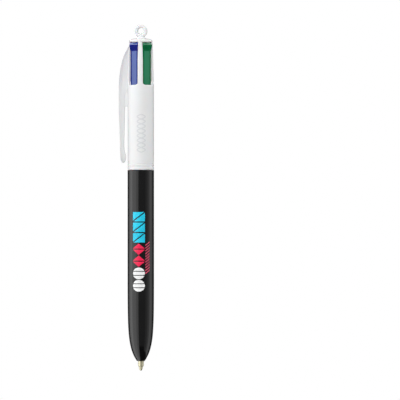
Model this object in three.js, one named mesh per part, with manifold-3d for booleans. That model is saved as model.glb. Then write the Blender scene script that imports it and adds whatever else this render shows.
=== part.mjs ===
// A retractable four-colour ballpoint pen, in millimetres, upright, +Z from the nose to the ring.
// The origin is on the pen's axis in the plane of the nose's end. The clip points to -X.
// It is built with the black refill out and latched, and the other three in.
import * as THREE from 'three';
import { mergeVertices } from 'three/addons/utils/BufferGeometryUtils.js';
import Module from 'manifold-3d';

const wasm = await Module();
wasm.setup();

// Lower barrel
const barrelRadius = 5.73;
const noseLength = 34;
const noseDrop = 4.05; // how much smaller the radius is where the nose's curve starts
const noseDecay = 5.55; // the drop falls to about a third in this height
const noseFlatRadius = 1.7;
const noseEdge = 0.22;
const noseWall = 0.8;
const funnelRise = 1.1; // the funnel inside repeats the nose's curve this much higher
const exitRadius = 1.45;
const exitLength = 1.95;
const funnelTop = 21; // the inside is a plain bore above this height
const boreRadius = 4.75;
const seamHeight = 82.55;
const seamGap = 0.1;

// The screwed joint between the barrels
const socketRadius = 5.2;
const socketDepth = 7.6;
const socketStep = 0.4;
const threadLength = 6.9;
const threadRoot = 4.8;
const threadCrest = 5.05;
const threadPitch = 1.5;
const threadRidges = 3;
const threadNeck = 1.2; // plain length between the seam and the first ridge
const threadFlank = 0.3;

// Upper barrel
const spigotBore = 4.4;
const seatShoulder = 96.2;
const taperStart = 117;
const bodyTop = 137.9;
const bodyTopDrop = 0.68;
const slotBottom = 119.3;
const slotWidth = 6.3; // at the lower end; higher up the ribs set the width
const slotCorner = 1.5;
const ribThickness = 2.28; // the ribs between the slots have parallel sides
const ribInset = 1.6; // how far the wide bore reaches above the slots' lower ends
const channelWidth = 5.4; // inside, between the ribs, where a slider's plate runs

// Top cap and ring
const capGap = 0.1;
const capRadius = 5.04;
const capRim = 0.3;
const domeTop = 139.4;
const domeFlat = 2.3; // radius inside which the top of the dome is flat
const neckRadius = 1.65;
const neckBottom = 139.9;
const neckTop = 141.1;
const ringHeight = 142.7;
const ringOuter = 2.8;
const ringHole = 1.27;
const ringThickness = 3.4;
const ringRound = 0.35;
const pinRadius = 1.0;
const pinTop = 139.5;
const pinLength = 2;
const pinSocket = 1.15;
const pinSocketRise = 0.2;

// Pocket clip
const clipReach = 9.56;
const clipSplit = 110.15; // height at which the springy arm leaves the root
const clipGap = 0.3;
const clipEnd = 85.6;
const clipEmbed = 5.35; // the root's inner side, inside the barrel's wall
const clipEmbedTop = 4.9;
const clipEmbedBend = 128; // height where the embedded side starts to lean in
const clipTop = 136;
const clipTip = 0.8; // half the width of the clip's lower end

// Sliders and refills. Each angle is the direction of a slot about +Z, in degrees.
const pens = [
  { name: 'blue', angle: 225, color: 0x2a2f86, latched: false },
  { name: 'green', angle: 315, color: 0x15603a, latched: false },
  { name: 'red', angle: 135, color: 0xc2242a, latched: false },
  { name: 'black', angle: 45, color: 0x1b1b1d, latched: true },
];
const travel = 11.5;
const tipOut = 4.3; // how far a latched refill's ball stands out of the nose
const refillOffset = 2.9; // from the pen's axis to the peg that carries the refill
const retractedOffset = 2.65; // from the pen's axis to the ball of a retracted refill
const pegHeight = 116; // top of the refill when its slider is up
const plateFront = 3.92;
const plateFacet = 3.2; // width of the flat middle of the plate's front
const plateDrop = 0.3; // how much lower the plate's edges are than its middle
const plateBack = 2.6;
const plateWidth = 5.2;
const plateBackWidth = 4.0;
const plateBottom = 117;
const plateTop = 137.75;
const headFront = 4.45;
const headWidth = 5.24;
const headHeight = 3.8;
const headSlope = 1.5; // height of the head's lower, sloping front up to its edge, from the top
const headChamfer = 0.95;
const headBack = 3.2; // the head starts at this distance from the pen's axis
const shoulderRadius = 1.65;
const shoulderHeight = 0.8;
const pegRadius = 0.7;
const pegLength = 4;
const spineWidth = 1.2;
const spineReach = 1.75;
const spineBack = 2.9;
const spineTop = 137.25;
const hookReach = 1.3;
const hookHeight = 127.6;
const hookThickness = 1.4;

const tipGap = 0.1; // between the tip's shoulder and the tube
const plugGap = 0.2; // between the tip's plug and the ink
const tubeRadius = 1.3;
const tubeBore = 0.9;
const tipRadius = 1.25;
const tipShoulder = 2.35;
const tipLength = 11;
const tipPlugRadius = 0.82;
const tipPlugLength = 3;
const ballRadius = 0.3;
const ballCentre = 0.32;
const inkRadius = 0.8;
const inkShare = 0.78; // how much of the tube above the tip holds ink

// Inner works
const seatThickness = 1.7;
const seatRadius = 4.6;
const seatHole = 1.5;
const seatHoleOffset = 2.77;
const coreHalf = 0.8;
const finThickness = 0.5;
const finReach = 3.45;
const finBottom = 105.2; // above a spring that is pressed flat
const coreTop = 137.5;
const ledgeReach = 1.2;
const ledgeHeight = 117.7;
const ledgeThickness = 1.0;
const ledgeHalf = 0.5;
const springRadius = 1.62;
const springWire = 0.15;
const springTurns = 8;
const springSides = 5;
const closedPitch = 2.2; // pitch of the closed turns at the ends, in radii of the wire
const springGap = 0.1;

const roundSteps = 40;
const smallSteps = 16;

const seatTop = seatShoulder + seamGap + seatThickness;
const downPegHeight = pegHeight - travel;
const refillLength = Math.hypot(refillOffset, downPegHeight + tipOut);
const tiltOut = Math.asin(refillOffset / refillLength);
const tiltIn = Math.asin((refillOffset - retractedOffset) / refillLength);

// A closed geometry as a solid that can be joined and cut.
function solid(geometry) {
  const bare = geometry.clone();
  bare.deleteAttribute('normal');
  bare.deleteAttribute('uv');
  const merged = mergeVertices(bare, 1e-5);
  const index = merged.index.array;
  const triVerts = [];
  for (let i = 0; i < index.length; i += 3) {
    const [a, b, c] = index.slice(i, i + 3);
    if (a !== b && b !== c && c !== a) triVerts.push(a, b, c);
  }
  const mesh = new wasm.Mesh({
    numProp: 3,
    vertProperties: new Float32Array(merged.attributes.position.array),
    triVerts: new Uint32Array(triVerts),
  });
  return new wasm.Manifold(mesh);
}

function geometryOf(body) {
  const mesh = body.getMesh();
  const geometry = new THREE.BufferGeometry();
  geometry.setAttribute('position', new THREE.BufferAttribute(mesh.vertProperties, 3));
  geometry.setIndex(new THREE.BufferAttribute(mesh.triVerts, 1));
  return geometry;
}

// A body of revolution about +Z from points [radius, height].
function turned(points, steps = roundSteps) {
  const profile = points.map(([r, z]) => new THREE.Vector2(r, z));
  return solid(new THREE.LatheGeometry(profile, steps).rotateX(Math.PI / 2));
}

function cylinder(radius, low, high, x = 0, steps = smallSteps) {
  const body = new THREE.CylinderGeometry(radius, radius, high - low, steps);
  return solid(body.rotateX(Math.PI / 2).translate(x, 0, (low + high) / 2));
}

function box(x, y, z) {
  const size = [x, y, z].map(([low, high]) => high - low);
  const middle = [x, y, z].map(([low, high]) => (low + high) / 2);
  return solid(new THREE.BoxGeometry(...size).translate(...middle));
}

// An outline of [x, z] points, pushed from y = -depth/2 to y = +depth/2.
function plate(points, depth) {
  const shape = new THREE.Shape(points.map(([x, z]) => new THREE.Vector2(x, z)));
  const body = new THREE.ExtrudeGeometry(shape, { depth, bevelEnabled: false });
  return solid(body.translate(0, 0, -depth / 2).rotateX(Math.PI / 2));
}

function noseRadius(z) {
  const end = Math.exp(-noseLength / noseDecay);
  const share = (Math.exp(-z / noseDecay) - end) / (1 - end);
  return barrelRadius - noseDrop * Math.max(0, share);
}

function funnelRadius(z) {
  return Math.min(boreRadius, noseRadius(z - funnelRise) - noseWall);
}

function bodyRadius(z) {
  const share = Math.max(0, (z - taperStart) / (bodyTop - taperStart));
  return barrelRadius - bodyTopDrop * share ** 1.5;
}

// Heights from low to high, closer together at the low end.
function heights(low, high, count, power = 1) {
  return Array.from({ length: count + 1 }, (_, i) => low + (high - low) * (i / count) ** power);
}

function lowerBarrel() {
  const outside = heights(noseEdge, noseLength, 12, 1.6).map((z) => [noseRadius(z), z]);
  const inside = heights(exitLength, funnelTop, 8, 1.4).map((z) => {
    return [Math.max(exitRadius, funnelRadius(z)), z];
  });
  return turned([
    [exitRadius, 0],
    [noseFlatRadius, 0],
    ...outside,
    [barrelRadius, seamHeight],
    [socketRadius, seamHeight],
    [socketRadius, seamHeight - socketDepth],
    [boreRadius, seamHeight - socketDepth - socketStep],
    ...inside.reverse(),
    [exitRadius, 0],
  ]);
}

// The ridges of the male thread, as rings, from the top down.
function threadProfile() {
  const tops = Array.from({ length: threadRidges }, (_, n) => seamHeight - threadNeck - n * threadPitch);
  const ridges = tops.flatMap((z) => [
    [threadRoot, z],
    [threadCrest, z - threadFlank],
    [threadCrest, z - 2 * threadFlank],
    [threadRoot, z - 3 * threadFlank],
  ]);
  return [...ridges, [threadRoot, seamHeight - threadLength]];
}

// The opening for one slider: a channel for its plate that widens outwards between two ribs.
function slot(angle) {
  const half = slotWidth / 2;
  const outline = new THREE.Shape();
  outline.moveTo(half, bodyTop + 1);
  outline.lineTo(-half, bodyTop + 1);
  outline.lineTo(-half, slotBottom + slotCorner);
  outline.absarc(-half + slotCorner, slotBottom + slotCorner, slotCorner, Math.PI, 1.5 * Math.PI);
  outline.absarc(half - slotCorner, slotBottom + slotCorner, slotCorner, 1.5 * Math.PI, 2 * Math.PI);
  const window = new THREE.ExtrudeGeometry(outline, { depth: 7, bevelEnabled: false, curveSegments: 4 });
  window.rotateX(Math.PI / 2).rotateZ(Math.PI / 2);

  const inner = channelWidth / 2;
  const ribFace = ribThickness * Math.SQRT1_2; // a rib's side is at width = distance - ribFace
  const plan = new THREE.Shape([
    new THREE.Vector2(-1, -inner),
    new THREE.Vector2(inner + ribFace, -inner),
    new THREE.Vector2(8, ribFace - 8),
    new THREE.Vector2(8, 8 - ribFace),
    new THREE.Vector2(inner + ribFace, inner),
    new THREE.Vector2(-1, inner),
  ]);
  const height = bodyTop + 2 - slotBottom;
  const gap = new THREE.ExtrudeGeometry(plan, { depth: height, bevelEnabled: false });
  gap.translate(0, 0, slotBottom - 0.5);
  return solid(window).intersect(solid(gap)).rotate([0, 0, angle]);
}

// The clip's outer edge seen from the side, as [distance from the axis, height], top to bottom.
function clipBack(high, low, count) {
  const path = new THREE.SplineCurve([
    new THREE.Vector2(5.2, clipTop),
    new THREE.Vector2(7.2, 132.4),
    new THREE.Vector2(8.52, 128.1),
    new THREE.Vector2(9.3, 123.2),
    new THREE.Vector2(clipReach, 118.5),
    new THREE.Vector2(clipReach, 109),
    new THREE.Vector2(9.28, 101.5),
    new THREE.Vector2(9.02, 94),
    new THREE.Vector2(8.86, 88.4),
    new THREE.Vector2(8.5, 86.3),
    new THREE.Vector2(7.7, clipEnd),
  ]);
  const points = path.getPoints(60).filter((p) => p.y < high && p.y > low);
  const step = Math.ceil(points.length / count);
  const kept = points.filter((_, i) => i % step === 0);
  return kept.map((p) => [p.x, p.y]);
}

// The clip seen from outside: narrow at the top, wider below, with a round lower end.
function clipFront() {
  const right = [
    [0.95, clipTop + 0.6],
    [ribThickness / 2 - 0.02, 122],
    [1.16, 119],
    [1.7, 95.5],
    [1.8, 89.5],
    [1.72, 87.6],
    [1.4, 86.3],
    [clipTip, clipEnd],
  ];
  const left = right.map(([x, z]) => [-x, z]).reverse();
  const shape = new THREE.Shape([...right, ...left].map(([x, z]) => new THREE.Vector2(x, z)));
  const body = new THREE.ExtrudeGeometry(shape, { depth: 12, bevelEnabled: false });
  return solid(body.rotateX(Math.PI / 2).rotateZ(Math.PI / 2));
}

// Both parts of the clip are made on the +X side and turned to -X.
function clipPiece(outline) {
  return plate(outline, 6).intersect(clipFront()).rotate([0, 0, 180]);
}

function clipRoot() {
  const low = clipSplit + clipGap / 2;
  return clipPiece([
    [clipEmbedTop, clipTop],
    ...clipBack(clipTop + 0.1, low, 9),
    [clipReach, low],
    [clipEmbed, low],
    [clipEmbed, clipEmbedBend],
  ]);
}

function pocketClip() {
  const high = clipSplit - clipGap / 2;
  const inside = [
    [7.4, clipEnd],
    [6.8, 86.4],
    [6.5, 87.8],
    [6.6, 89.2],
    [7.15, 91.2],
    [7.25, 95],
    [7.0, 103],
    [6.85, high],
  ];
  return clipPiece([[clipReach, high], ...clipBack(high, clipEnd, 9), ...inside]);
}

function upperBarrel() {
  const taper = heights(taperStart, bodyTop, 6).map((z) => [bodyRadius(z), z]);
  const low = seamHeight + seamGap;
  let body = turned([
    [spigotBore, seamHeight - threadLength],
    ...threadProfile().reverse(),
    [threadRoot, low],
    [barrelRadius, low],
    ...taper,
    [0, bodyTop],
    [0, slotBottom + ribInset],
    [boreRadius, slotBottom + ribInset],
    [boreRadius, seatShoulder],
    [spigotBore, seatShoulder],
    [spigotBore, seamHeight - threadLength],
  ]);
  for (const pen of pens) body = body.subtract(slot(pen.angle));
  return body.add(clipRoot());
}

function topCap() {
  const base = bodyTop + capGap;
  const rise = domeTop - base - capRim;
  const dome = [0, 0.25, 0.5, 0.75, 1].map((share) => {
    const turn = (share * Math.PI) / 2;
    const radius = domeFlat + (capRadius - domeFlat) * Math.cos(turn);
    return [radius, base + capRim + rise * Math.sin(turn)];
  });
  const cap = turned([
    [0, base],
    [capRadius, base],
    ...dome,
    [neckRadius, neckBottom],
    [neckRadius, neckTop],
    [0, neckTop],
  ]);
  const outline = new THREE.Shape().absarc(0, 0, ringOuter - ringRound, 0, 2 * Math.PI);
  outline.holes.push(new THREE.Path().absarc(0, 0, ringHole + ringRound, 0, 2 * Math.PI));
  const ring = new THREE.ExtrudeGeometry(outline, {
    depth: ringThickness - 2 * ringRound,
    bevelThickness: ringRound,
    bevelSize: ringRound,
    bevelSegments: 2,
    curveSegments: 10,
  });
  ring.translate(0, 0, ringRound - ringThickness / 2).rotateX(Math.PI / 2).translate(0, 0, ringHeight);
  return cap.subtract(cylinder(pinSocket, base - 1, pinTop + pinSocketRise)).add(solid(ring));
}

// The cross-shaped core that keeps the sliders in their channels, with one latch ledge for each.
function sliderGuide() {
  const low = seatTop + seamGap;
  const arms = [0, 90].map((angle) => {
    const half = finThickness / 2;
    return box([-finReach, finReach], [-half, half], [finBottom, coreTop]).rotate([0, 0, angle]);
  });
  const core = box([-coreHalf, coreHalf], [-coreHalf, coreHalf], [low, coreTop]).rotate([0, 0, 45]);
  const ledges = pens.map(({ angle }) => {
    const height = [ledgeHeight, ledgeHeight + ledgeThickness];
    return box([0, ledgeReach], [-ledgeHalf, ledgeHalf], height).rotate([0, 0, angle]);
  });
  let guide = core.add(cylinder(pinRadius, pinTop - pinLength, pinTop));
  for (const piece of [...arms, ...ledges]) guide = guide.add(piece);
  return guide;
}

function springSeat() {
  const low = seatShoulder + seamGap;
  let seat = cylinder(seatRadius, low, seatTop, 0, roundSteps);
  for (const { angle } of pens) {
    const hole = cylinder(seatHole, low - 1, seatTop + 1, seatHoleOffset, 20);
    seat = seat.subtract(hole.rotate([0, 0, angle]));
  }
  return seat;
}

// A slider that is up, with +X as the direction of its slot.
function slider() {
  const section = new THREE.Shape([
    new THREE.Vector2(plateBack, -plateBackWidth / 2),
    new THREE.Vector2(plateFront - plateDrop, -plateWidth / 2),
    new THREE.Vector2(plateFront, -plateFacet / 2),
    new THREE.Vector2(plateFront, plateFacet / 2),
    new THREE.Vector2(plateFront - plateDrop, plateWidth / 2),
    new THREE.Vector2(plateBack, plateBackWidth / 2),
  ]);
  const column = new THREE.ExtrudeGeometry(section, { depth: plateTop - plateBottom, bevelEnabled: false });
  const face = solid(column.translate(0, 0, plateBottom));
  const head = plate([
    [headBack, plateTop - headHeight],
    [plateFront - 0.1, plateTop - headHeight],
    [headFront, plateTop - headSlope],
    [headFront, plateTop - headChamfer],
    [plateFront, plateTop],
    [headBack, plateTop],
  ], headWidth);
  const spine = plate([
    [spineBack, plateBottom],
    [spineBack, spineTop],
    [spineReach, spineTop],
    [spineReach, hookHeight + hookThickness],
    [hookReach, hookHeight + hookThickness],
    [hookReach, hookHeight],
    [spineReach, hookHeight],
    [spineReach, plateBottom],
  ], spineWidth);
  const shoulderLow = plateBottom - shoulderHeight;
  const shoulder = cylinder(shoulderRadius, shoulderLow, plateBottom + 0.4, refillOffset, 20);
  const peg = cylinder(pegRadius, pegHeight - pegLength, plateBottom, refillOffset, 12);
  return face.add(head).add(spine).add(shoulder).add(peg);
}

// The pieces of a refill hang down from the origin, which is the top of the tube.
function refillTube() {
  const low = tipLength + tipGap - refillLength;
  const wall = [[tubeBore, low], [tubeRadius, low], [tubeRadius, 0], [tubeBore, 0], [tubeBore, low]];
  return turned(wall, smallSteps);
}

function inkColumn() {
  const low = tipLength + tipPlugLength + plugGap - refillLength;
  return cylinder(inkRadius, low, low * (1 - inkShare), 0, 12);
}

// The tip's outline runs from the socket of the ball, over the cone and up to the plug.
function refillTip() {
  const outline = [
    [0.34, 0.25],
    [0.44, 0.25],
    [0.66, 0.75],
    [0.8, 1.25],
    [0.9, 1.95],
    [tipRadius - 0.1, 2.1],
    [tipRadius, tipShoulder],
    [tipRadius, tipLength],
    [tipPlugRadius, tipLength],
    [tipPlugRadius, tipLength + tipPlugLength],
    [0, tipLength + tipPlugLength],
    [0, 0.75],
    [0.34, 0.7],
    [0.34, 0.25],
  ];
  return turned(outline.map(([r, z]) => [r, z - refillLength]), smallSteps);
}

function writingBall() {
  const ball = new THREE.SphereGeometry(ballRadius, 10, 6).rotateX(Math.PI / 2);
  return solid(ball.translate(0, 0, ballCentre - refillLength));
}

// A coil spring that hangs down from the origin. Its first and last turns are closed.
function returnSpring(length) {
  class Coil extends THREE.Curve {
    getPoint(share, target = new THREE.Vector3()) {
      const turn = share * springTurns;
      const closed = closedPitch * springWire;
      const open = (length - 2 * springWire - 2 * closed) / (springTurns - 2);
      const first = Math.min(turn, 1) * closed;
      const middle = Math.min(Math.max(turn - 1, 0), springTurns - 2) * open;
      const last = Math.max(turn - springTurns + 1, 0) * closed;
      const angle = 2 * Math.PI * turn;
      const drop = springWire + first + middle + last;
      return target.set(springRadius * Math.cos(angle), springRadius * Math.sin(angle), -drop);
    }
  }
  const section = new THREE.Shape();
  for (let side = 0; side < springSides; side += 1) {
    const angle = (2 * Math.PI * side) / springSides;
    const [x, y] = [springWire * Math.cos(angle), springWire * Math.sin(angle)];
    if (side) section.lineTo(x, y);
    else section.moveTo(x, y);
  }
  const coil = { steps: springTurns * 8, extrudePath: new Coil() };
  return solid(new THREE.ExtrudeGeometry(section, coil));
}

function node(name, body, color, roughness, metalness = 0) {
  const material = new THREE.MeshStandardMaterial({ color, roughness, metalness });
  const mesh = new THREE.Mesh(geometryOf(body), material);
  mesh.name = name;
  return mesh;
}

const white = 0xe9eaec;
const black = 0x141416;
const brass = 0xcdbf86;
const steel = 0xb9bcc0;

const pen = new THREE.Group();
pen.add(node('lower_barrel', lowerBarrel(), black, 0.25));
pen.add(node('upper_barrel', upperBarrel(), white, 0.25));
pen.add(node('top_cap', topCap(), white, 0.25));
pen.add(node('pocket_clip', pocketClip(), white, 0.25));
pen.add(node('slider_guide', sliderGuide(), white, 0.5));
pen.add(node('spring_seat', springSeat(), white, 0.5));

for (const { name, angle, color, latched } of pens) {
  const unit = new THREE.Group();
  unit.rotation.z = THREE.MathUtils.degToRad(angle);
  unit.position.z = latched ? -travel : 0;
  unit.add(node(`slider_${name}`, slider(), color, 0.3));

  const refill = new THREE.Group();
  refill.position.set(refillOffset, 0, pegHeight);
  refill.rotation.y = latched ? tiltOut : tiltIn;
  const springTop = pegHeight - plateBottom + shoulderHeight + springGap;
  const springLength = pegHeight - springTop - seatTop - springGap - (latched ? travel : 0);
  const spring = node(`return_spring_${name}`, returnSpring(springLength), steel, 0.3, 1);
  spring.position.z = -springTop;
  refill.add(spring);
  refill.add(node(`refill_tube_${name}`, refillTube(), 0xdfe3e4, 0.35));
  refill.add(node(`ink_${name}`, inkColumn(), color, 0.2));
  refill.add(node(`refill_tip_${name}`, refillTip(), brass, 0.3, 1));
  refill.add(node(`writing_ball_${name}`, writingBall(), steel, 0.15, 1));
  unit.add(refill);
  pen.add(unit);
}

export default pen;
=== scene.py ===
import math

import bmesh
import bpy
import numpy as np
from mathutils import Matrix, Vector


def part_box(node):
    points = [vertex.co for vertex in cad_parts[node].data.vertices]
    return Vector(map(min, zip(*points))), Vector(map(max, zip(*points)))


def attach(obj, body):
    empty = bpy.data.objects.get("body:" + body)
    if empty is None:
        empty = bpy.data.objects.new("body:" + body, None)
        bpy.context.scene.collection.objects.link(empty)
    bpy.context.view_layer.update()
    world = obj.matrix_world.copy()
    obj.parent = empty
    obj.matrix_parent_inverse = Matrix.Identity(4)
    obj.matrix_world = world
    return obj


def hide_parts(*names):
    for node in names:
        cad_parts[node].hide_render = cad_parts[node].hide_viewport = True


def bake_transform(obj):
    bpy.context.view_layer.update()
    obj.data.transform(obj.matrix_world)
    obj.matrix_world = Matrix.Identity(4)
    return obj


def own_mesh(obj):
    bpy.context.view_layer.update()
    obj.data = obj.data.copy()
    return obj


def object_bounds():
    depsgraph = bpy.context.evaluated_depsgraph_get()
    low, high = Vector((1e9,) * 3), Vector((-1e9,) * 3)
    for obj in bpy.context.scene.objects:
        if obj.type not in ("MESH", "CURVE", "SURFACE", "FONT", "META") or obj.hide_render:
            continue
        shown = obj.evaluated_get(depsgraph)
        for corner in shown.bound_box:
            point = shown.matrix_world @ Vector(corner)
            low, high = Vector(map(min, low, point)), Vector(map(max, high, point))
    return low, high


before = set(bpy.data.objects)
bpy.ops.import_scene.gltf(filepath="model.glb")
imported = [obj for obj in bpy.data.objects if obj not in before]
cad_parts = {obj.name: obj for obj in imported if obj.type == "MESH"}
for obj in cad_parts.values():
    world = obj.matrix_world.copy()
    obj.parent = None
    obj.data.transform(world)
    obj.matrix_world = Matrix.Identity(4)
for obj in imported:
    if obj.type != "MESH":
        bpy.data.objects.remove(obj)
cad_low, cad_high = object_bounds()

# Lengths on the pen are in millimetres, in the CAD's frame, and MM turns them into metres.
MM = 0.001


def edge_of(node, corner, axis):
    """One side of a CAD node's box in millimetres: corner 0 is the low side, 1 the high side."""
    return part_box(node)[corner][axis] / MM


# How far the black skin stays inside the CAD's box
SKIN_INSET = 0.018

# Places that come from the frame
SEAM = edge_of("lower_barrel", 1, 2)
BARREL_RADIUS = edge_of("lower_barrel", 1, 0) - SKIN_INSET
CLIP_REACH = -edge_of("pocket_clip", 0, 0)
CLIP_END = edge_of("pocket_clip", 0, 2)
CLIP_SPLIT = edge_of("pocket_clip", 1, 2)
BODY_TOP = edge_of("upper_barrel", 1, 2)
CAP_BASE = edge_of("top_cap", 0, 2)
SEAT_TOP = edge_of("spring_seat", 1, 2)

# Lower barrel
NOSE_LENGTH = 34.0
NOSE_DROP = 4.05
NOSE_DECAY = 5.55
NOSE_FLAT = 1.7
NOSE_START = 0.3
NOSE_WALL = 0.8
FUNNEL_RISE = 1.1
FUNNEL_TOP = 21.0
EXIT_RADIUS = 1.45
EXIT_LENGTH = 1.95
BORE_RADIUS = 4.75
SOCKET_RADIUS = 5.2
SOCKET_DEPTH = 7.6
THREAD_PITCH = 1.5
THREAD_HEIGHT = 0.25
THREAD_LENGTH = 6.9
THREAD_GROOVE = 0.14
SPIGOT_RADIUS = 4.8
SPIGOT_BORE = 4.4
SPIGOT_LOW = SEAM - THREAD_LENGTH

# Upper barrel. Its skin is a little below the lower barrel's.
BODY_RADIUS = BARREL_RADIUS - 0.045
BODY_LOW = SEAM + 0.1
BODY_RIM = 0.16
TAPER_START = 117.0
TAPER_DROP = 0.625
SLOT_BOTTOM = 119.3
SLOT_HALF = 3.15
SLOT_CORNER = 1.5
SLOT_FLAT = SLOT_HALF - SLOT_CORNER
SLOT_EDGE = 0.38
RIB_HALF = 1.14
CHANNEL_HALF = 2.7
RIB_STEP = 120.9
SEAT_SHOULDER = 96.2

# Fine rings above the seam: height and depth
GROOVES = [(84.1, 0.24), (85.2, 0.12), (86.15, 0.09)]
GROOVE_WIDTH = 0.15

# Points in the upper barrel's rows: across a slot, across a rib, round a corner and over an edge
SLOT_COLUMNS = 10
RIB_COLUMNS = 12
CORNER_STEPS = 8
EDGE_STEPS = 5

# Sliders and refills: the direction of each slot about +Z in degrees
PENS = {"blue": 225, "green": 315, "red": 135, "black": 45}
LATCHED = "black"
TRAVEL = 11.5
TIP_OUT = 4.3
REFILL_OFFSET = 2.9
RETRACTED_OFFSET = 2.65
PEG_HEIGHT = 116.0
PLATE_FRONT = 3.92
PLATE_HALF = 2.58
FACET_HALF = 1.58
FLANK_SLOPE = 0.27
PLATE_BACK = 2.6
PLATE_BACK_HALF = 2.0
PLATE_BOTTOM = 117.0
PLATE_TOP = 137.72
HEAD_LOW = 134.0
HEAD_CREST_LOW = 136.2
HEAD_CREST_TOP = 136.75
HEAD_FRONT = 4.44
HEAD_HALF = 2.61
REFILL_LENGTH = math.hypot(REFILL_OFFSET, PEG_HEIGHT - TRAVEL + TIP_OUT)
TILT_OUT = math.asin(REFILL_OFFSET / REFILL_LENGTH)
TILT_IN = math.asin((REFILL_OFFSET - RETRACTED_OFFSET) / REFILL_LENGTH)
SPRING_RADIUS = 1.6
SPRING_WIRE = 0.15
SPRING_TURNS = 8
SPRING_CLEARANCE = 0.1
CLOSED_PITCH = 0.34


def ramp(value, start, end):
    """0 at the start, 1 at the end, and level beyond them."""
    return min(1.0, max(0.0, (value - start) / (end - start)))


def from_table(value, pairs):
    """The value read off a list of [place, value] pairs, straight between them."""
    places, values = zip(*pairs)
    return float(np.interp(value, places, values))


def round_over(distance, radius):
    """How much a rounded edge falls, at a distance from it."""
    if distance >= radius:
        return 0.0
    return radius - math.sqrt(max(0.0, radius**2 - (radius - distance) ** 2))


# ---- meshes

def new_object(name, data):
    obj = bpy.data.objects.new(name, data)
    bpy.context.scene.collection.objects.link(obj)
    return obj


def mesh_object(name, points, faces, materials, sharp=35, face_material=None):
    """A closed mesh from points in millimetres. Edges sharper than the angle stay crisp."""
    mesh = bpy.data.meshes.new(name)
    mesh.from_pydata((np.array(points, float) * MM).tolist(), [], faces)
    bm = bmesh.new()
    bm.from_mesh(mesh)
    bmesh.ops.remove_doubles(bm, verts=bm.verts, dist=2e-4 * MM)
    bmesh.ops.dissolve_degenerate(bm, edges=bm.edges, dist=1e-4 * MM)
    bmesh.ops.recalc_face_normals(bm, faces=bm.faces)
    bm.to_mesh(mesh)
    bm.free()
    for material in materials:
        mesh.materials.append(material)
    if face_material:
        for polygon in mesh.polygons:
            polygon.material_index = face_material(polygon.center / MM, polygon.normal)
    mesh.shade_smooth()
    mesh.set_sharp_from_angle(angle=math.radians(sharp))
    return new_object(name, mesh)


def grid_faces(rows, columns, wrap_rows=False):
    """Quads over closed rows of points, one row after another."""
    faces = []
    for i in range(rows if wrap_rows else rows - 1):
        row, next_row = i * columns, (i + 1) % rows * columns
        for j in range(columns):
            k = (j + 1) % columns
            faces.append((row + j, row + k, next_row + k, next_row + j))
    return faces


def turned(profile, steps, wave=None):
    """Points and faces of a body of revolution about Z from [radius, height] pairs.
    A profile off the axis closes on itself, and wave(angle, radius, height) adds to a radius."""
    points = []
    for radius, height in profile:
        for step in range(steps):
            angle = 2 * math.pi * step / steps
            r = radius + (wave(angle, radius, height) if wave else 0)
            points.append((r * math.cos(angle), r * math.sin(angle), height))
    closed = profile[0][0] > 1e-6
    return points, grid_faces(len(profile), steps, wrap_rows=closed)


def arc(x, z, radius, start, end, count):
    """Points of an arc, from one angle to another in degrees."""
    angles = np.radians(np.linspace(start, end, count))
    return [(x + radius * math.cos(a), z + radius * math.sin(a)) for a in angles]


def lofted(sections):
    """Points and faces of a body through closed loops of equal length, with flat ends."""
    count = len(sections[0])
    points = [p for section in sections for p in section]
    faces = grid_faces(len(sections), count)
    last = (len(sections) - 1) * count
    faces.append(tuple(range(count - 1, -1, -1)))
    faces.append(tuple(range(last, last + count)))
    return points, faces


def swept(path, radius):
    """Points and faces of a round wire along a list of points."""
    path = np.array(path, float)
    tangent = np.gradient(path, axis=0)
    tangent /= np.linalg.norm(tangent, axis=1)[:, None]
    side = np.cross(tangent, (0, 0, 1))
    side /= np.linalg.norm(side, axis=1)[:, None]
    up = np.cross(side, tangent)
    turns = np.linspace(0, 2 * math.pi, 8, endpoint=False)
    loops = [
        [p + radius * (math.cos(a) * s + math.sin(a) * u) for a in turns]
        for p, s, u in zip(path, side, up)
    ]
    return lofted(loops)


def curve_through(knots):
    """A smooth curve through points, as a dense polyline (uniform Catmull-Rom)."""
    knots = np.array(knots, float)
    padded = np.vstack([knots[0], knots, knots[-1]])
    line = []
    for i in range(len(knots) - 1):
        a, b, c, d = padded[i : i + 4]
        for t in np.linspace(0, 1, 24, endpoint=i == len(knots) - 2):
            line.append(
                0.5 * (2 * b + (c - a) * t + (2 * a - 5 * b + 4 * c - d) * t**2
                       + (3 * b - a - 3 * c + d) * t**3)
            )
    return np.array(line)


def turn_about_z(points, degrees):
    c, s = math.cos(math.radians(degrees)), math.sin(math.radians(degrees))
    return [(c * x - s * y, s * x + c * y, z) for x, y, z in points]


def as_applied(obj):
    """The mesh with its modifiers applied."""
    graph = bpy.context.evaluated_depsgraph_get()
    mesh = bpy.data.meshes.new_from_object(obj.evaluated_get(graph))
    obj.modifiers.clear()
    obj.data = mesh
    return obj


def united(first, others):
    """The first mesh joined with the others into one body."""
    for other in others:
        cut = first.modifiers.new("join", "BOOLEAN")
        cut.operation = "UNION"
        cut.solver = "EXACT"
        cut.object = other
    as_applied(first)
    for other in others:
        bpy.data.objects.remove(other)
    return first


# ---- materials

def node_material(name, color, roughness, **sockets):
    """A Principled material. Values that are the same all over go on its own sockets."""
    material = bpy.data.materials.new(name)
    material.use_nodes = True
    shader = material.node_tree.nodes["Principled BSDF"]
    shader.inputs["Base Color"].default_value = (*color, 1)
    shader.inputs["Roughness"].default_value = roughness
    for socket, value in sockets.items():
        shader.inputs[socket.replace("_", " ")].default_value = value
    return material


def add_node(material, kind, **values):
    node = material.node_tree.nodes.new(kind)
    for key, value in values.items():
        if key in node.inputs:
            node.inputs[key].default_value = value
        else:
            setattr(node, key, value)
    return node


def feed(material, output, socket):
    """Links a node's output to a socket of the material's shader."""
    shader = material.node_tree.nodes["Principled BSDF"]
    material.node_tree.links.new(output, shader.inputs[socket])


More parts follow.
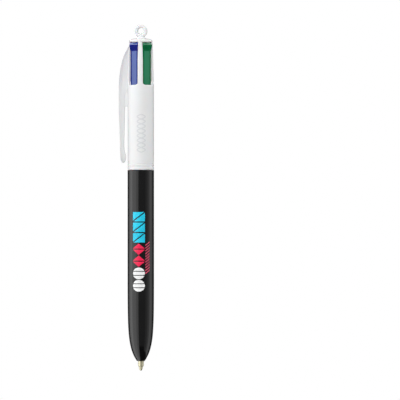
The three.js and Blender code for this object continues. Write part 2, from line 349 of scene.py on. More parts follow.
def noise(material, scale, detail=3.0, stretch=(1, 1, 1)):
    """Noise by place on the object; the scale is in features per millimetre."""
    place = add_node(material, "ShaderNodeTexCoord")
    fit = add_node(material, "ShaderNodeMapping")
    fit.inputs["Scale"].default_value = [s / MM for s in stretch]
    texture = add_node(material, "ShaderNodeTexNoise", Scale=scale, Detail=detail)
    links = material.node_tree.links
    links.new(place.outputs["Object"], fit.inputs["Vector"])
    links.new(fit.outputs["Vector"], texture.inputs["Vector"])
    return texture.outputs["Fac"]


def vary_roughness(material, source, low, high):
    remap = add_node(material, "ShaderNodeMapRange")
    for socket, value in (("From Min", 0.3), ("From Max", 0.7), ("To Min", low), ("To Max", high)):
        remap.inputs[socket].default_value = value
    material.node_tree.links.new(source, remap.inputs["Value"])
    feed(material, remap.outputs["Result"], "Roughness")


def vary_color(material, source, first, second):
    """The base colour goes between two close colours."""
    ramp_node = add_node(material, "ShaderNodeValToRGB")
    for stop, place, color in zip(ramp_node.color_ramp.elements, (0.35, 0.65), (first, second)):
        stop.position = place
        stop.color = (*color, 1)
    material.node_tree.links.new(source, ramp_node.inputs["Fac"])
    feed(material, ramp_node.outputs["Color"], "Base Color")


def add_bump(material, source, depth):
    """Fine relief; the depth is in millimetres."""
    bump = add_node(material, "ShaderNodeBump", Strength=1.0, Distance=depth * MM)
    material.node_tree.links.new(source, bump.inputs["Height"])
    feed(material, bump.outputs["Normal"], "Normal")


def shade(color, factor):
    return tuple(min(1.0, c * factor) for c in color)


def gloss_plastic(name, color, roughness, relief=0.0012, vary=0.06, **sockets):
    """Moulded plastic: a cloudy colour, a wiped gloss and the flow marks of the mould."""
    material = node_material(name, color, roughness, **sockets)
    vary_color(material, noise(material, 0.12), shade(color, 1 - vary), shade(color, 1 + vary))
    vary_roughness(material, noise(material, 0.9, 4), roughness * 0.8, roughness * 1.25)
    add_bump(material, noise(material, 1.6, 2, (1, 1, 0.25)), relief)
    return material


def matte_plastic(name, color, roughness, **sockets):
    """Plastic from a spark-eroded mould: an even fine grain."""
    material = node_material(name, color, roughness, **sockets)
    vary_color(material, noise(material, 0.3), shade(color, 0.93), shade(color, 1.07))
    vary_roughness(material, noise(material, 3, 3), roughness * 0.9, roughness * 1.1)
    add_bump(material, noise(material, 6, 2), 0.006)
    return material


def turned_metal(name, color, roughness, metallic=1.0):
    """Metal from a lathe: fine rings across the axis, and some tarnish."""
    material = node_material(name, color, roughness, Metallic=metallic)
    vary_color(material, noise(material, 0.8, 4), shade(color, 0.9), shade(color, 1.05))
    vary_roughness(material, noise(material, 1.5, 3), roughness * 0.75, roughness * 1.35)
    add_bump(material, noise(material, 9, 1, (0.02, 0.02, 1)), 0.0025)
    return material


BLACK = gloss_plastic("black_plastic", (0.0042, 0.0042, 0.0044), 0.13, relief=0.0006, vary=0.15,
                      Specular_IOR_Level=0.5)
WHITE = gloss_plastic("white_plastic", (0.80, 0.805, 0.81), 0.17, vary=0.012,
                      Specular_IOR_Level=0.28, Subsurface_Weight=0.12, Subsurface_Scale=0.6 * MM)
# The clip's white is darker than the barrel's white: painted shade, standing in for the dimmer light on the
# clip.
CLIP_SHADED_WHITE = gloss_plastic("clip_white_painted_shade", (0.745, 0.75, 0.755), 0.17, vary=0.012,
                           Specular_IOR_Level=0.28, Subsurface_Weight=0.1, Subsurface_Scale=0.5 * MM)
# The raised waves' greyer white is painted shade along their flanks, not a different plastic.
RELIEF_SHADED_WHITE = gloss_plastic("relief_white_painted_shade", (0.70, 0.71, 0.725), 0.12, vary=0.012,
                             Specular_IOR_Level=0.45)
INNER = matte_plastic("inner_white", (0.70, 0.71, 0.72), 0.45)
STEEL = turned_metal("spring_steel", (0.62, 0.63, 0.65), 0.22)
BRASS = turned_metal("tip_brass", (0.66, 0.62, 0.43), 0.2, 0.55)
CARBIDE = turned_metal("ball_carbide", (0.45, 0.45, 0.47), 0.12)
TUBE = gloss_plastic("tube_plastic", (0.86, 0.88, 0.89), 0.22, vary=0.02,
                     Transmission_Weight=0.75, IOR=1.49)
PRINT_CYAN = matte_plastic("ink_cyan", (0.005, 0.60, 0.83), 0.3)
PRINT_PINK = matte_plastic("ink_pink", (0.88, 0.006, 0.075), 0.3)
PRINT_WHITE = matte_plastic("ink_white", (0.92, 0.92, 0.92), 0.3)
PRINT_LINE = matte_plastic("ink_line", (0.86, 0.08, 0.17), 0.3)
FACE_COLORS = {
    "blue": (0.012, 0.055, 0.285),
    "green": (0.004, 0.185, 0.078),
    "red": (0.56, 0.010, 0.014),
    "black": (0.010, 0.010, 0.011),
}
# Darker copies of the face colours for the matte flanks and thumb rest: their fine grain is real, their
# darker colour is painted shade.
GRIP_SHADE_COLORS = {
    "blue": (0.0035, 0.009, 0.165),
    "green": (0.001, 0.125, 0.041),
    "red": (0.30, 0.004, 0.006),
    "black": (0.005, 0.005, 0.0055),
}
INK_COLORS = {name: shade(color, 0.6) for name, color in FACE_COLORS.items()}

# A slider's finishes, by their place among its materials, and how much its polished faces shine
POLISHED, GRIP, LIP = 0, 1, 2
SHINE = {"blue": 0.56, "green": 0.27, "red": 0.4, "black": 0.5}


# ---- lower barrel

def nose_radius(z):
    end = math.exp(-NOSE_LENGTH / NOSE_DECAY)
    share = (math.exp(-z / NOSE_DECAY) - end) / (1 - end)
    return BARREL_RADIUS - NOSE_DROP * max(0.0, share)


def thread_wave(low, high, height):
    """A helical ridge that fades in and out between two heights."""
    def wave(angle, radius, z):
        share = (z / THREAD_PITCH - angle / (2 * math.pi)) % 1
        ridge = min(1.0, max(0.0, 2.4 * (0.5 - abs(share - 0.5)) - 0.35) * 2.2)
        return height * ridge * min(ramp(z, low, low + 0.8), ramp(z, high, high - 0.8))
    return wave


def lower_barrel():
    """Black tube: bullet nose, a rounded rim, a threaded socket, the bore and the nose's funnel."""
    rim, lip = 0.2, 0.12
    low, high = SEAM - SOCKET_DEPTH, SEAM
    nose = NOSE_START + (NOSE_LENGTH - NOSE_START) * np.linspace(0, 1, 46) ** 1.5
    threads = [(SOCKET_RADIUS, z) for z in np.arange(high - 0.4, low + 0.3, -0.1)]
    funnel = []
    for z in EXIT_LENGTH + (FUNNEL_TOP - EXIT_LENGTH) * np.linspace(1, 0, 24) ** 1.4:
        inside = min(BORE_RADIUS, nose_radius(z - FUNNEL_RISE) - NOSE_WALL)
        funnel.append((max(EXIT_RADIUS, inside), z))
    profile = [
        (EXIT_RADIUS, lip), (EXIT_RADIUS + 0.04, 0.03), (EXIT_RADIUS + lip, 0.0), (NOSE_FLAT, 0.0),
        (NOSE_FLAT + 0.6 * (nose_radius(NOSE_START) - NOSE_FLAT), 0.07),
        *((nose_radius(z), z) for z in nose),
        (BARREL_RADIUS, NOSE_LENGTH + 2), (BARREL_RADIUS, 55), (BARREL_RADIUS, high - rim),
        *arc(BARREL_RADIUS - rim, high - rim, rim, 15, 90, 6),
        (SOCKET_RADIUS + 0.1, high), (SOCKET_RADIUS, high - 0.1),
        *threads,
        (SOCKET_RADIUS, low), (BORE_RADIUS, low - 0.4), (BORE_RADIUS, 50),
        *funnel,
    ]
    groove = thread_wave(low + 0.4, high - 0.6, THREAD_GROOVE)

    def wave(angle, radius, z):
        in_socket = abs(radius - SOCKET_RADIUS) < 1e-6 and low + 0.2 < z < high - 0.3
        return groove(angle, radius, z) if in_socket else 0.0

    points, faces = turned(profile, 112, wave)
    return mesh_object("lower_barrel_shell", points, faces, [BLACK])


# ---- upper barrel

def body_radius(z):
    radius = BODY_RADIUS - TAPER_DROP * ramp(z, TAPER_START, BODY_TOP) ** 1.5
    for height, depth in GROOVES:
        radius -= depth * math.exp(-(((z - height) / GROOVE_WIDTH) ** 2))
    return radius


def wall_width(radius):
    """Half the width of a slot at a distance from the pen's axis. The ribs have parallel sides, and
    further in the channel of the slider's plate has them too."""
    rib_face = RIB_HALF * math.sqrt(2)
    between_ribs = (math.sqrt(2 * radius**2 - rib_face**2) - rib_face) / 2
    return max(CHANNEL_HALF, between_ribs)


def lean(across, radius):
    """The azimuth in degrees, on a circle, of a point that stands to one side by a distance."""
    return math.degrees(math.asin(across / radius))


def body_outline():
    """[radius, height] pairs from the slots down the skin, round the rim, down the spigot and up the
    bore to the slots again."""
    skin = [*np.linspace(SLOT_BOTTOM - SLOT_EDGE, 117.0, 4), *np.linspace(114.0, 88.0, 10)]
    skin += [*np.arange(87.0, BODY_LOW + 0.3, -0.08)]
    outline = [(body_radius(z), z) for z in skin]
    rim_height = BODY_LOW + BODY_RIM
    outline += arc(body_radius(rim_height) - BODY_RIM, rim_height, BODY_RIM, 0, -90, 5)
    outline += [(SPIGOT_RADIUS + 0.1, BODY_LOW), (SPIGOT_RADIUS, BODY_LOW - 0.1)]
    outline += [(SPIGOT_RADIUS, z) for z in np.arange(BODY_LOW - 0.3, SPIGOT_LOW + 0.3, -0.1)]
    outline += [(SPIGOT_RADIUS, SPIGOT_LOW + 0.15), (SPIGOT_RADIUS - 0.12, SPIGOT_LOW)]
    outline += [(SPIGOT_BORE + 0.08, SPIGOT_LOW), (SPIGOT_BORE, SPIGOT_LOW + 0.1)]
    outline += [(SPIGOT_BORE, SEAT_SHOULDER), (BORE_RADIUS, SEAT_SHOULDER)]
    outline += [(BORE_RADIUS, z) for z in (100.0, 108.0, 116.0, SLOT_BOTTOM)]
    return outline


def slot_stations():
    """Places up the right-hand side of a slot, from the start of its lower corner: half its width,
    the height, and how much of the rolled edge lies across and along the slot there."""
    stations = []
    for turn in np.linspace(90, 0, CORNER_STEPS + 1):
        c, s = math.cos(math.radians(turn)), math.sin(math.radians(turn))
        stations.append((SLOT_FLAT + SLOT_CORNER * c, SLOT_BOTTOM + SLOT_CORNER - SLOT_CORNER * s, c, -s))
    stations.append((SLOT_HALF, RIB_STEP, 1.0, 0.0))
    stations += [(SLOT_HALF, z, 1.0, 0.0) for z in np.linspace(RIB_STEP, BODY_TOP, 15)[1:]]
    return stations


def edge_roll():
    """The rolled edge of a slot: how far outside the wall and how far below the skin it is."""
    return [
        (SLOT_EDGE * (1 - math.sin(a)), SLOT_EDGE * (1 - math.cos(a)))
        for a in np.linspace(0, math.pi / 2, EDGE_STEPS + 1)[1:]
    ]


def upper_barrel():
    """White barrel: a tube whose rows of points part round four slots with rolled edges."""
    angles = sorted(PENS.values())
    stations = slot_stations()
    step_at = CORNER_STEPS + 1
    channel_radius = math.hypot(CHANNEL_HALF, CHANNEL_HALF + RIB_HALF * math.sqrt(2))
    points, faces = [], []

    def add(radius, azimuth, z):
        a = math.radians(azimuth)
        points.append((radius * math.cos(a), radius * math.sin(a), z))
        return len(points) - 1

    def strip(a, b, closed=False):
        for i in range(len(a) if closed else len(a) - 1):
            j = (i + 1) % len(a)
            faces.append((a[i], a[j], b[j], b[i]))

    def full_row(radius, z, wave=None):
        """A closed row: for each slot, the points below it and then those below the next rib."""
        row = []
        for k in angles:
            slot = [k + lean(t, radius) for t in np.linspace(-SLOT_FLAT, SLOT_FLAT, SLOT_COLUMNS + 1)]
            edge = lean(SLOT_FLAT, radius)
            rib = np.linspace(k + edge, k + 90 - edge, RIB_COLUMNS + 1)[1:-1]
            for azimuth in (*slot, *rib):
                row.append(add(radius + (wave(azimuth, z) if wave else 0), azimuth, z))
        return row

    def rib_row(radius, z, t):
        """For each slot, the points from its far edge to the next slot's near edge."""
        rows = []
        for k in angles:
            span = np.linspace(k + lean(t, radius), k + 90 - lean(t, radius), RIB_COLUMNS + 1)
            rows.append([add(radius, a, z) for a in span])
        return rows

    def parts_of(row):
        """A full row's slot stretch and rib stretch, for each slot."""
        size = SLOT_COLUMNS + RIB_COLUMNS
        slots = [row[i * size : i * size + SLOT_COLUMNS + 1] for i in range(4)]
        ribs = [(row + row[:1])[i * size + SLOT_COLUMNS : (i + 1) * size + 1] for i in range(4)]
        return slots, ribs

    def rolled(k, side, t, z, across, along):
        """The rolled edge and the upper part of the slot's wall, from the skin inwards."""
        ring = []
        for out, depth in edge_roll():
            height = min(z + along * out, BODY_TOP)
            radius = body_radius(height) - depth
            width = min(t, wall_width(radius)) + across * out
            ring.append(add(radius, k + side * lean(width, radius), height))
        radius = min(channel_radius, body_radius(z) - SLOT_EDGE - 0.05)
        ring.append(add(radius, k + side * lean(min(t, wall_width(radius)), radius), z))
        return ring

    # The tube below the slots
    ridge = thread_wave(SPIGOT_LOW + 0.3, BODY_LOW - 0.9, THREAD_HEIGHT)

    def wave(azimuth, z):
        return ridge(math.radians(azimuth % 360), SPIGOT_RADIUS, z)

    rows = []
    for radius, z in body_outline():
        on_spigot = abs(radius - SPIGOT_RADIUS) < 1e-6 and z < BODY_LOW - 0.2
        rows.append(full_row(radius, z, wave if on_spigot else None))
    for a, b in zip(rows, rows[1:]):
        strip(a, b, closed=True)

    # The ribs' outer faces, and the bore between the slots up to the step
    slots, ribs = parts_of(rows[0])
    outer = [ribs]
    for t, z, across, along in stations[1:]:
        height = z + along * SLOT_EDGE
        radius = body_radius(height)
        outer.append(rib_row(radius, height, min(t, wall_width(radius)) + across * SLOT_EDGE))
    inner_slots, inner_ribs = parts_of(rows[-1])
    inner = [inner_ribs]
    for t, z, _, _ in stations[1 : step_at + 1]:
        inner.append(rib_row(BORE_RADIUS, z, min(t, CHANNEL_HALF)))
    for lower, upper in zip(outer, outer[1:]):
        for a, b in zip(lower, upper):
            strip(a, b)
    for lower, upper in zip(inner, inner[1:]):
        for a, b in zip(lower, upper):
            strip(b, a)

    # Above the step each rib narrows to an apex between two channels
    apex_radius = CHANNEL_HALF * math.sqrt(2)
    apexes = [[add(apex_radius, k + 45, z) for _, z, _, _ in stations[step_at:]] for k in angles]
    tops = {}
    for i, k in enumerate(angles):
        bottom = []
        for column, t in enumerate(np.linspace(-SLOT_FLAT, SLOT_FLAT, SLOT_COLUMNS + 1)):
            ring = []
            for out, depth in edge_roll():
                radius = body_radius(SLOT_BOTTOM - out) - depth
                ring.append(add(radius, k + lean(t, radius), SLOT_BOTTOM - out))
            ring.append(add(channel_radius, k + lean(t, channel_radius), SLOT_BOTTOM))
            bottom.append([slots[i][column], *ring, inner_slots[i][column]])
        for a, b in zip(bottom, bottom[1:]):
            strip(a, b)
        for side, end in ((1, bottom[-1]), (-1, bottom[0])):
            rib = i if side > 0 else (i - 1) % 4
            column = 0 if side > 0 else -1
            lines = [end]
            for n, station in enumerate(stations[1:], 1):
                line = [outer[n][rib][column], *rolled(k, side, *station)]
                if n <= step_at:
                    line.append(inner[n][rib][column])
                lines.append(line)
            last = EDGE_STEPS + 1
            for n, (a, b) in enumerate(zip(lines, lines[1:])):
                strip(a[: last + 1], b[: last + 1])
                if n < step_at:
                    faces.append((a[last], a[last + 1], b[last + 1], b[last]))
                else:
                    lower, upper = apexes[rib][n - step_at : n - step_at + 2]
                    corner = a[last + 1 :] if n == step_at else []
                    faces.append((a[last], *corner, lower, upper, b[last]))
            tops[rib, side] = lines[-1]

    # The ledge at the step and the flat end of each rib
    for rib in range(4):
        faces.append((*inner[step_at][rib], apexes[rib][0]))
        left, right = tops[rib, -1], tops[rib, 1]
        faces.append((*outer[-1][rib], *left[1:], apexes[rib][-1], *reversed(right[1:])))
    return mesh_object("upper_barrel_shell", points, faces, [WHITE], sharp=30)


# ---- clip

# The clip's profile: distance from the pen's axis and height, down its back and up its inside
CLIP_TOP = 136.0
CLIP_BACK = [
    (5.2, CLIP_TOP), (7.2, 132.4), (8.5, 128.1), (9.28, 123.2), (9.54, 118.5), (9.54, 109),
    (9.26, 101.5), (9.0, 94), (8.84, 88.4), (8.48, 86.3), (7.7, CLIP_END),
]
CLIP_INSIDE = [
    (7.4, CLIP_END), (6.8, 86.4), (6.5, 87.8), (6.6, 89.2), (7.15, 91.2), (7.25, 95),
    (7.0, 103), (6.9, 109), (6.95, 114.2), (6.7, 115.2), (6.0, 116.6), (5.75, 117.5),
]

# Height with half the clip's width, and with how much its sides fall in below its back
CLIP_WIDTHS = [
    (85.6, 0.8), (85.9, 1.15), (86.3, 1.4), (87.6, 1.72), (89.5, 1.8), (95.5, 1.7),
    (119, 1.16), (122, 1.1), (136.6, 0.95),
]
CLIP_HOLLOW = [(CLIP_END, 0.25), (90, 0.62), (116, 0.55), (124, 0.5)]

# Above this height the clip's root stands on the barrel
ROOT_LOW = 117.5
NOTCH_ROUND = 0.8

# Two shallow hollows on each side of the root: height and size
DIMPLES = [(121.6, 1.1), (118.6, 1.2)]
DIMPLE_REACH = 8.15
DIMPLE_WIDTH = 0.5
DIMPLE_DEPTH = 0.16


def bell(value, middle, width):
    return math.exp(-(((value - middle) / width) ** 2))


def dimple(x, z):
    along = sum(bell(z, height, size) for height, size in DIMPLES)
    return DIMPLE_DEPTH * bell(x, DIMPLE_REACH, DIMPLE_WIDTH) * along


def clip_heights():
    """Rows from the top down, closer together where the clip's shape changes fast."""
    notch_top = CLIP_SPLIT + NOTCH_ROUND
    return [
        *np.arange(CLIP_TOP, 118.0, -0.45), *np.arange(118.0, 113.5, -0.18),
        *np.arange(113.5, notch_top + 0.1, -0.4),
        *(CLIP_SPLIT + NOTCH_ROUND * (1 - np.cos(np.radians(np.linspace(90, 0, 9))))),
        *np.arange(CLIP_SPLIT - 0.5, 92.0, -0.7), *np.arange(92.0, CLIP_END, -0.16), CLIP_END,
    ]


def clip_foot(z, web):
    """How far in a row goes: to the arm's inner face, or above the notch into the barrel."""
    face = web - 0.02
    rise = ramp(z, CLIP_SPLIT, CLIP_SPLIT + NOTCH_ROUND)
    share = math.sqrt(max(0.0, 1 - (1 - rise) ** 2))
    return min(face, face + (body_radius(z) - 0.45 - face) * share)


def clip_row(z, back, inside):
    """One level loop of the clip: the crowned back, sides that fall in, and the foot."""
    skin = body_radius(z)
    outer = min(CLIP_REACH, np.interp(-z, -back[:, 1], back[:, 0]))
    web = np.interp(z, inside[:, 1], inside[:, 0]) if z < ROOT_LOW else skin + 0.1
    web = min(web, outer - 0.08)
    depth = outer - web
    end = clip_foot(z, web)
    half = from_table(z, CLIP_WIDTHS)
    hollow = from_table(z, CLIP_HOLLOW)
    sunk = max(hollow, 0.42 * ramp(z, ROOT_LOW - 0.1, ROOT_LOW - 1.5))
    rounding = min(0.08, 0.3 * depth, 0.5 * half)
    inner_round = min(0.22, 0.3 * depth)
    crown = 0.05 * min(1.0, depth / 1.5)
    foot = half - sunk
    if z > SLOT_BOTTOM:
        foot = min(foot, RIB_HALF - 0.16)
    meets_barrel = end < skin
    flare = 0.3 * ramp(z, SLOT_BOTTOM + 1.5, SLOT_BOTTOM - 1.5) if meets_barrel else 0.0

    side = [(outer, 0.0), (outer - 0.25 * crown, 0.5 * (half - rounding))]
    for a in np.radians(np.linspace(0, 90, 6)):
        side.append((outer - crown - rounding * (1 - math.cos(a)), half - rounding * (1 - math.sin(a))))
    start = outer - crown - rounding
    for x in np.linspace(start, web + inner_round, 9)[1:]:
        fast, slow = math.exp((x - start) / 0.25), math.exp((x - start) / 0.9)
        thinner = hollow * (1 - 0.46 * fast - 0.54 * slow)
        side.append((x, half - thinner - dimple(x, z)))
    half -= thinner
    drop = max(0.0, sunk - thinner)
    corner = 0.02 + (inner_round if z < ROOT_LOW - 0.1 else 0)
    side.append((web + 0.25 * inner_round, half - 0.3 * max(drop, inner_round)))
    side.append((web, half - 0.95 * max(drop, corner)))
    for share in (0.25, 0.5, 0.75, 1.0):
        x = web + (end - web) * share
        near = max(0.0, 1 - abs(x - skin) / 0.35) if meets_barrel else 0.0
        y = (half - drop) * (1 - share) + foot * share + flare * near**2
        if x < skin:
            y = min(y, foot + flare)
        side.append((x, max(0.2, y - 0.03 * share - (inner_round if z < CLIP_SPLIT else 0))))
    side.append((end, 0.0))
    return side + [(x, -y) for x, y in reversed(side[1:-1])]


def pocket_clip():
    """The clip with its root, lofted downwards. It is made on the +X side and turned."""
    back, inside = curve_through(CLIP_BACK), curve_through(CLIP_INSIDE)
    rows = [[(-x, -y, z) for x, y in clip_row(z, back, inside)] for z in clip_heights()]
    points, faces = lofted(rows)
    return mesh_object("pocket_clip_shell", points, faces, [CLIP_SHADED_WHITE], sharp=32)


# ---- cap and ring

CAP_RADIUS = 5.02
CAP_RIM = 0.3
DOME_TOP = 139.4
DOME_FLAT = 2.3
RING_HEIGHT = 142.7
RING_OUTER = 2.79
RING_HOLE = 1.27
RING_HALF_DEPTH = 1.7
RING_ROUND = 0.55
MELT_SIZE = 0.075


def cap_profile():
    """Inner pin, the lower face inside the barrel's mouth, rim, dome and neck."""
    pin = 1.15
    low = CAP_BASE - 0.08
    rise = DOME_TOP - CAP_BASE - CAP_RIM
    dome = [
        (DOME_FLAT + (CAP_RADIUS - DOME_FLAT) * math.cos(a), CAP_BASE + CAP_RIM + rise * math.sin(a))
        for a in np.radians(np.linspace(0, 90, 14))
    ]
    return [
        (0, 139.7), (pin, 139.7), (pin, CAP_BASE),
        (CAP_RADIUS - 0.9, CAP_BASE), (CAP_RADIUS - 0.85, low),
        (CAP_RADIUS - 0.03, low), (CAP_RADIUS, low + 0.03),
        *dome,
        (2.05, 139.55), (1.78, 139.8), (1.62, 140.2), (1.62, 140.7), (1.75, 141.1), (1.75, 141.4), (0, 141.4),
    ]


def lanyard_ring():
    """A ring about Y with a rounded square section."""
    far, near = RING_OUTER - RING_ROUND, RING_HOLE + RING_ROUND
    side = RING_HALF_DEPTH - RING_ROUND
    section = []
    for x, y, start in ((far, side, 0), (near, side, 90), (near, -side, 180), (far, -side, 270)):
        section += arc(x, y, RING_ROUND, start, start + 90, 7)
    steps = 96
    points = [
        (r * math.cos(a), y, RING_HEIGHT + r * math.sin(a))
        for r, y in section
        for a in np.linspace(0, 2 * math.pi, steps, endpoint=False)
    ]
    return mesh_object("ring", points, grid_faces(len(section), steps, wrap_rows=True), [WHITE])


def top_cap():
    """Dome, neck and ring, melted together at one small mesh size and smoothed."""
    points, faces = turned(cap_profile(), 128)
    cap = united(mesh_object("top_cap_shell", points, faces, [WHITE]), [lanyard_ring()])
    melt = cap.modifiers.new("melt", "REMESH")
    melt.mode = "VOXEL"
    melt.voxel_size = MELT_SIZE * MM
    smooth = cap.modifiers.new("smooth", "SMOOTH")
    smooth.factor = 0.5
    smooth.iterations = 8
    as_applied(cap)
    cap.data.materials.clear()
    cap.data.materials.append(WHITE)
    cap.data.shade_smooth()
    return cap


# ---- sliders

# Half the columns across a slider's face, as shares of its half width, from the edge inwards
FACE_COLUMNS = [1, 0.988, 0.96, 0.925, 0.85, 0.78, 0.7, 0.66, 0.61, 0.57, 0.53, 0.4, 0.2]
HEAD_LINE = [
    (HEAD_LOW, 3.74), (HEAD_CREST_LOW, HEAD_FRONT), (HEAD_CREST_TOP, HEAD_FRONT), (PLATE_TOP, 3.95),
]
SPINE = [
    (3.0, 117.2), (3.0, 137.2), (1.75, 137.2), (1.75, 129.0), (1.35, 129.0), (1.3, 128.9),
    (1.3, 127.7), (1.35, 127.6), (1.75, 127.6), (1.75, 117.2),
]
SPINE_HALF = 0.6
PEG = [
    (0, 112), (0.55, 112), (0.7, 112.25), (0.7, 116.1), (0.75, 116.2), (1.55, 116.2),
    (1.65, 116.3), (1.65, 117.3), (0, 117.3),
]


def face_depth(across, half, z):
    """How far out a slider's face is: a flat facet, two sloping flanks and above them the head."""
    past = abs(across) - FACET_HALF
    flank = FLANK_SLOPE * (past if past > 0.16 else max(0.0, past + 0.16) ** 2 / 0.64)
    depth = PLATE_FRONT - flank - round_over(half - abs(across), 0.2)
    if z >= HEAD_LOW:
        depth = max(depth, from_table(z, HEAD_LINE) - round_over(half - abs(across), 0.22))
    return depth


def slider_finish(center, normal):
    """The finish of a slider's face by its place: rough flanks and thumb rest, polished elsewhere."""
    depth = math.hypot(center.x, center.y)
    proud = depth > 3.7
    on_rest = HEAD_LOW - 0.02 < center.z < HEAD_CREST_TOP + 0.03 and proud and normal.z < 0.05
    on_flank = center.x > 2.7 and abs(center.y) > FACET_HALF and center.z < HEAD_LOW
    if on_flank or on_rest:
        return GRIP
    on_lip = center.z > HEAD_CREST_TOP + 0.03 and 0.1 < normal.z < 0.9 and proud
    return LIP if on_lip else POLISHED


def slider(name, angle, drop, materials):
    """A slider: face with sloping flanks, wedge-shaped head, spine with a hook, shoulder and peg."""
    columns = [-u for u in FACE_COLUMNS] + [0.0] + FACE_COLUMNS[::-1]
    rows = [
        PLATE_BOTTOM, PLATE_BOTTOM + 0.1, PLATE_BOTTOM + 0.3, *np.linspace(118, 133.6, 16),
        HEAD_LOW - 0.1, HEAD_LOW, HEAD_LOW + 0.05, *np.linspace(134.3, 136.1, 8),
        HEAD_CREST_LOW, 136.3, 136.5, 136.68, 136.8, 137.0, 137.3, 137.55, 137.65, PLATE_TOP,
    ]
    back = [
        (PLATE_BACK + 0.08, PLATE_BACK_HALF), (PLATE_BACK, PLATE_BACK_HALF - 0.08),
        (PLATE_BACK, 0.08 - PLATE_BACK_HALF), (PLATE_BACK + 0.08, -PLATE_BACK_HALF),
    ]
    sections = []
    for z in rows:
        end = round_over(min(z - PLATE_BOTTOM, PLATE_TOP - z), 0.12)
        half = HEAD_HALF if z >= HEAD_LOW else PLATE_HALF
        front = [(face_depth(u * half, half, z) - end, u * half) for u in columns]
        sections.append([(depth, across, z) for depth, across in front + back])
    points, faces = lofted(sections)
    body = mesh_object(name, points, faces, materials, sharp=28, face_material=slider_finish)
    points, faces = lofted([[(depth, t, z) for depth, z in SPINE] for t in (-SPINE_HALF, SPINE_HALF)])
    spine = mesh_object("spine", points, faces, materials[:1])
    points, faces = turned(PEG, 32)
    peg = mesh_object("peg", [(x + REFILL_OFFSET, y, z) for x, y, z in points], faces, materials[:1])
    united(body, [spine, peg])
    moved = turn_about_z([tuple(v.co) for v in body.data.vertices], angle)
    for vertex, (x, y, z) in zip(body.data.vertices, moved):
        vertex.co = (x, y, z - drop * MM)
    body.data.update()
    return body


# ---- refills and springs

# Profiles of a refill: radius, and height above the end of its tip
TUBE_PROFILE = [
    (0.9, 11.1), (1.26, 11.1), (1.3, 11.16),
    (1.3, REFILL_LENGTH - 0.06), (1.26, REFILL_LENGTH), (0.9, REFILL_LENGTH),
]
INK_PROFILE = [(0, 14.2), (0.8, 14.2), (0.8, 86.4), (0.62, 86.1), (0.3, 85.9), (0, 85.85)]
TIP_PROFILE = [
    (0, 0.75), (0.3, 0.68), (0.335, 0.45), (0.335, 0.25), (0.37, 0.22), (0.44, 0.25),
    (0.55, 0.5), (0.67, 0.75), (0.75, 1.0), (0.8, 1.25), (0.86, 1.6),
    (0.9, 1.86), (0.94, 1.93), (1.06, 1.99), (1.15, 2.07), (1.22, 2.2),
    (1.25, 2.35), (1.25, 4.3), (1.22, 4.34), (1.22, 4.46),
    (1.25, 4.5), (1.25, 10.9), (1.22, 11.0), (0.84, 11.0), (0.82, 11.05),
    (0.82, 13.9), (0.74, 14.0), (0, 14.0),
]
BALL_RADIUS = 0.299
BALL_HEIGHT = 0.322
BALL_PROFILE = arc(0, BALL_HEIGHT, BALL_RADIUS, -90, 90, 17)


def hung_refill(points, angle, latched):
    """Hangs points, given from the top of the tube, on the peg of a slider."""
    tilt = TILT_OUT if latched else TILT_IN
    top = PEG_HEIGHT - (TRAVEL if latched else 0)
    c, s = math.cos(tilt), math.sin(tilt)
    hung = [(x * c + z * s + REFILL_OFFSET, y, z * c - x * s + top) for x, y, z in points]
    return turn_about_z(hung, angle)


def refill(color, angle, latched, ink):
    """Tube, ink column, brass tip and ball. Each replaces its own node and rides on the refill."""
    for part, profile, material, slot, steps in (
        ("refill_tube", TUBE_PROFILE, TUBE, "tube_plastic", 32),
        ("ink", INK_PROFILE, ink, f"ink_{color}", 28),
        ("refill_tip", TIP_PROFILE, BRASS, "tip_brass", 48),
        ("writing_ball", BALL_PROFILE, CARBIDE, "ball_carbide", 32),
    ):
        points, faces = turned([(r, z - REFILL_LENGTH) for r, z in profile], steps)
        placed = hung_refill(points, angle, latched)
        obj = mesh_object(f"{part}_{color}_fine", placed, faces, [material])
        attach(obj, f"refill_{color}")
        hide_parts(f"{part}_{color}")


def return_spring(color, angle, latched):
    """A coil between the seat and the slider's shoulder, with a closed turn at each end."""
    low = SEAT_TOP + SPRING_CLEARANCE
    high = PEG_HEIGHT + SPRING_CLEARANCE - (TRAVEL if latched else 0)
    open_turns = SPRING_TURNS - 2
    pitch = (high - low - 2 * SPRING_WIRE - 2 * CLOSED_PITCH) / open_turns
    path = []
    for turn in np.linspace(0, SPRING_TURNS, SPRING_TURNS * 28 + 1):
        first, last = min(turn, 1), max(turn - SPRING_TURNS + 1, 0)
        middle = min(max(turn - 1, 0), open_turns)
        a = 2 * math.pi * turn
        path.append((
            REFILL_OFFSET - 0.06 + SPRING_RADIUS * math.cos(a), SPRING_RADIUS * math.sin(a),
            low + SPRING_WIRE + (first + last) * CLOSED_PITCH + middle * pitch,
        ))
    points, faces = swept(turn_about_z(path, angle), SPRING_WIRE)
    obj = mesh_object(f"return_spring_{color}_fine", points, faces, [STEEL])
    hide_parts(f"return_spring_{color}")
    if latched:
        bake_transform(obj)
    else:
        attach(obj, "upper_assembly")
        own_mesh(obj)


# ---- print and relief

# Film of ink on the lower barrel
FILM_LOW = BARREL_RADIUS - 0.006
FILM_HIGH = BARREL_RADIUS + 0.01

# Marks: azimuths from the front in degrees, and the height that each mark takes
PRINT_MIDDLE = -6.3
PRINT_HALF = 27.2
MARK_LOW = 29.9
MARK_STEPS = {"white": 5.35, "pink": 5.2, "cyan": 4.55}
MARK_COUNTS = {"white": 2, "pink": 2, "cyan": 3}
DIAMOND_GAP = 0.22
WEDGE_GAP = 0.32

# Slanted lines beside the marks
SLANT_FIRST = 22.8
SLANT_LAST = 44.3
SLANT_MIDDLE = 33
SLANT_COUNT = 11
SLANT_STEP = 1.21
SLANT_RISE = 1.5 / 21
SLANT_WIDTH = 0.42

